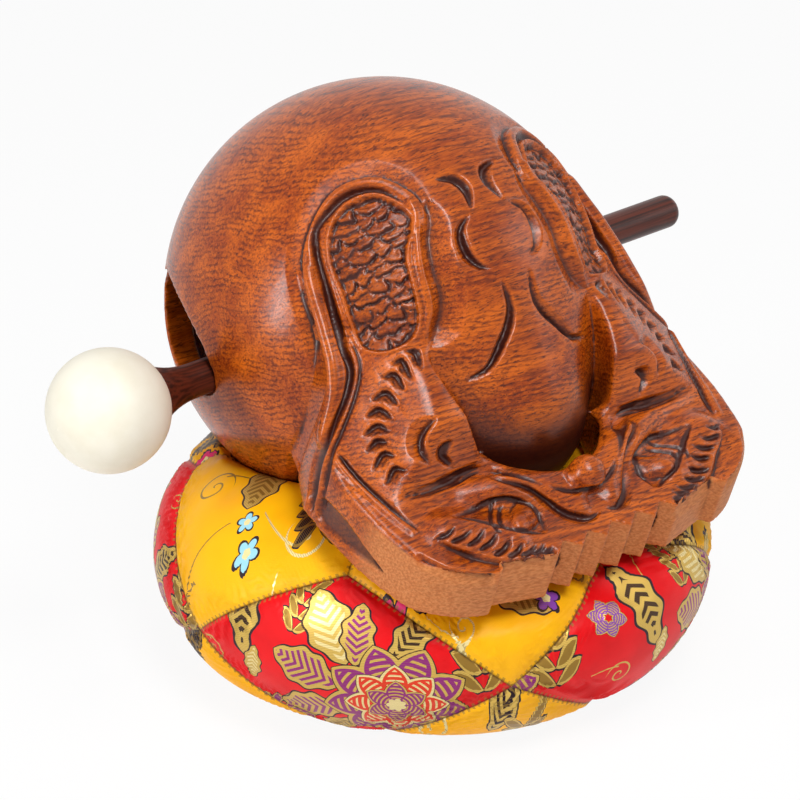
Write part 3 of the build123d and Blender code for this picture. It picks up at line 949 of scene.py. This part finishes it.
JAW_STEP = [(418, 553), (430, 561), (453, 570), (476, 574.5), (496, 576)]
gouge(CHIN_STEP, 18, 1.5, 2.3, tips=(0.15, 0.05), stain=0.35)
gouge(JAW_STEP, 12, 1.5, 2.1, tips=(0.15, 0.05), stain=0.3)

# Cheek edge: a roll along the slab's rim, and the sunk leaf on its side wall
RIM_ROLL = [(333, 456), (354, 481.5), (379, 505), (402, 524.5), (418, 536)]
SIDE_LEAF = [(317, 520), (321, 497), (344, 518), (365, 547), (386, 576), (362, 561), (338, 542)]
LEAF_DEPTH, LEAF_EDGE, LEAF_STAIN = 1.3, 3, 0.45
gouge(RIM_ROLL, 3, 4, 1.6, shift=-5, tips=(0.1, 0.3), stain=0.75)
roll(RIM_ROLL, 8, 1.0)
near, sunk = inside(SIDE_LEAF, LEAF_EDGE)
lift[near] -= LEAF_DEPTH * sunk
dark[near] = np.maximum(dark[near], LEAF_STAIN * sunk)

# The cuts are moved into the mesh. Shade is painted into its hollows and under the nose, its edges are
# worn, and the front of the head is left as sawn; distances in mm, forward and up in the fish
CUT_SOFTENING, STAIN_SOFTENING, CREASE_SOFTENING, CREASE_ROUNDS = 0.3, 0.5, 0.6, 3
HOLLOW, HOLLOW_PAINTED_SHADE, EDGE = (0.022, 0.10), 0.8, (0.015, 0.08)
NOSE_FORWARD, NOSE_UP, NOSE_SKIN, NOSE_PAINTED_SHADE = (52, 78), (4, 30), (0.5, 1.5), 0.60
SAWN_FORWARD, SAWN_UP, SAWN_FACING_UP = (84, 96), (1, 4), (0.15, 0.45)
lift = softened(lift, CUT_SOFTENING)
points += normals * (lift * MM)[:, None]
move_points(body, points)
dark = softened(dark, STAIN_SOFTENING)
only(body)
bpy.ops.object.shade_smooth()
hang = neighbours_mean(points, edges, count) - points
crease = np.einsum("ij,ij->i", hang, normals_of(body)) / MM
for _ in range(CREASE_ROUNDS):
    crease = softened(crease, CREASE_SOFTENING)
# Painted shade: darker where the surface is hollow, by how far it sinks below its neighbours
dark = np.maximum(dark, HOLLOW_PAINTED_SHADE * ramp(crease, *HOLLOW))
# Painted shade under the nose, on the pearl's lower side that turns away from the light
under_nose = ramp(local[:, 1], *NOSE_FORWARD) * (1 - ramp(local[:, 2], *NOSE_UP))
under_nose *= 1 - ramp(egg_gap(local * MM) / MM, *NOSE_SKIN)
dark = np.maximum(dark, NOSE_PAINTED_SHADE * under_nose)
worn = ramp(-crease, *EDGE) * (1 - dark)
upward = normals @ np.array((0, -DROP, LEAN))
sawn = ramp(local[:, 1], *SAWN_FORWARD) * (1 - ramp(upward, *SAWN_FACING_UP))
sawn *= 1 - ramp(local[:, 2], *SAWN_UP)
# The first attribute holds the stain in the cuts and the painted shade in hollows and under the nose
for name, values in (("carved", dark), ("worn", worn), ("sawn", sawn)):
    layer = body.data.attributes.new(name, "FLOAT", "POINT")
    layer.data.foreach_set("value", values.astype(np.float32))
finish_with(body, "DECIMATE", ratio=min(1, FISH_TRIANGLES / (2 * len(body.data.polygons))))
bpy.ops.object.shade_smooth()

# Oiled hardwood: growth rings seen as fine curved lines, short dark pores along the fibre, stain left
# in the cuts with painted shade in hollows and under the nose, edges polished lighter by hands, and
# paler, duller end grain where the head was sawn
WOOD_PALE, WOOD_MID = (0.58, 0.115, 0.006, 1), (0.31, 0.045, 0.002, 1)
WOOD_DARK, WOOD_PORE = (0.070, 0.008, 0.002, 1), (0.045, 0.007, 0.002, 1)
# Colour of the stain in the cuts and of the painted shade in hollows and under the nose
WOOD_STAIN_AND_SHADE = (0.030, 0.005, 0.004, 1)
SAWN_PALE, SAWN_DARK = (0.66, 0.250, 0.080, 1), (0.44, 0.135, 0.036, 1)
RING_ACROSS = (0.10, 0.62, 0.78)  # across the rings, in the fish's own axes
RING_PITCH, RING_WANDER = 1.9, 6.0  # mm
wood, wires = new_finish("carved_wood", Specular_IOR_Level=0.30)
grain_place = wires.add("Mapping", {"vector_type": "TEXTURE"}, {
    "Vector": wires.object_place(), "Location": tuple(BULB_CENTRE), "Rotation": (FISH_PITCH, 0, 0),
    "Scale": (MM, MM, MM)})
x, y, z = wires.axes(grain_place)


def grain_noise(along, across, detail=3.0, rough=0.55):
    """Noise drawn out along the fibre, with its size along and across it in mm."""
    stretch = (1 / along, 1 / across, 1 / across)
    stretched = wires.add("Mapping", None, {"Vector": grain_place, "Scale": stretch})
    return wires.noise(stretched, 1.0, detail, Roughness=rough)


wander = grain_noise(90, 30, 2.0)
depth = x * RING_ACROSS[0] + y * RING_ACROSS[1] + z * RING_ACROSS[2]
rings = (depth + wander * 2 * RING_WANDER) / RING_PITCH
ring = (rings + grain_noise(9, 1.6) * 1.3).fract()
patchy = grain_noise(26, 7, 2.0)
line = (ring.fade(0.35, 0.70) & (1 - ring.fade(0.80, 0.95))) * patchy.fade(0.30, 0.58)
band = grain_noise(60, 9, 2.0)
fibre = grain_noise(8, 0.95, 4.0, 0.72)
pores = grain_noise(3.4, 0.55, 2.0).fade(0.58, 0.66)
carved, worn, sawn = (wires.attribute(name) for name in ("carved", "worn", "sawn"))
cut_wood = wires.mix(grain_noise(3.0, 0.8).fade(0.3, 0.7), SAWN_PALE, SAWN_DARK)
# Colours laid over one another: where and how strongly, and the colour
WASHES = (
    (line * 0.70, WOOD_DARK),
    (fibre.fade(0.47, 0.64) * 0.55, WOOD_DARK),
    ((1 - fibre.fade(0.34, 0.50)) * 0.60, WOOD_PALE),
    (pores * 0.80, WOOD_PORE),
    (sawn * 0.85, cut_wood),
    (worn * 0.45, WOOD_PALE),
    # Stain in the cuts, with painted shade in hollows and under the nose
    (carved.fade(0.0, 0.65) * 0.95, WOOD_STAIN_AND_SHADE),
)
tone = wires.mix(band.fade(0.30, 0.72), WOOD_MID, WOOD_PALE)
for share, colour in WASHES:
    tone = wires.mix(share, tone, colour)
rough = 0.20 + 0.10 * fibre + 0.36 * sawn + 0.10 * carved - 0.05 * worn
wires.paint(Base_Color=tone, Roughness=rough)
wires.bump(fibre * -0.6 - pores - line * 0.4, 0.06, 0.3 * MM)
body.data.materials.append(wood)
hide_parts("fish_body")
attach(body, "fish")

# Mallet. A turned stick of dark hardwood, its flared neck tenoned into a ball of cream rubber. The
# wood is streaked along its length, and the rubber is matt and faintly mottled.
STICK_WOOD, STICK_STREAK = (0.100, 0.018, 0.008, 1), (0.022, 0.004, 0.002, 1)
STREAK_STRETCH = (25, 900, 900)  # streaks to the metre, along and across the stick
RUBBER, RUBBER_SHADE = (0.84, 0.80, 0.68, 1), (0.78, 0.73, 0.59, 1)
MOTTLE_SCALE, GRIT_SCALE = 60.0, 1500.0
stick_finish, wires = new_finish("mallet_wood", Specular_IOR_Level=0.30)
drawn_out = wires.add("Mapping", None, {"Vector": wires.object_place(), "Scale": STREAK_STRETCH})
streaks = wires.noise(drawn_out, 1.0, 4.0)
tone = wires.mix(streaks.fade(0.38, 0.66), STICK_WOOD, STICK_STREAK)
wires.paint(Base_Color=tone, Roughness=0.28 + 0.16 * streaks)
wires.bump(streaks, 0.12, 0.3 * MM)
rubber_finish, wires = new_finish("mallet_rubber", Specular_IOR_Level=0.35)
mottle = wires.noise(wires.object_place(), MOTTLE_SCALE, 4.0)
grit = wires.noise(wires.object_place(), GRIT_SCALE, 2.0)
tone = wires.mix(mottle.fade(0.4, 0.75), RUBBER, RUBBER_SHADE)
wires.paint(Base_Color=tone, Roughness=0.50 + 0.15 * mottle)
wires.bump(grit, 0.10, 0.2 * MM)
for node, material in (("mallet_stick", stick_finish), ("mallet_head", rubber_finish)):
    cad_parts[node].data.materials.clear()
    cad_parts[node].data.materials.append(material)
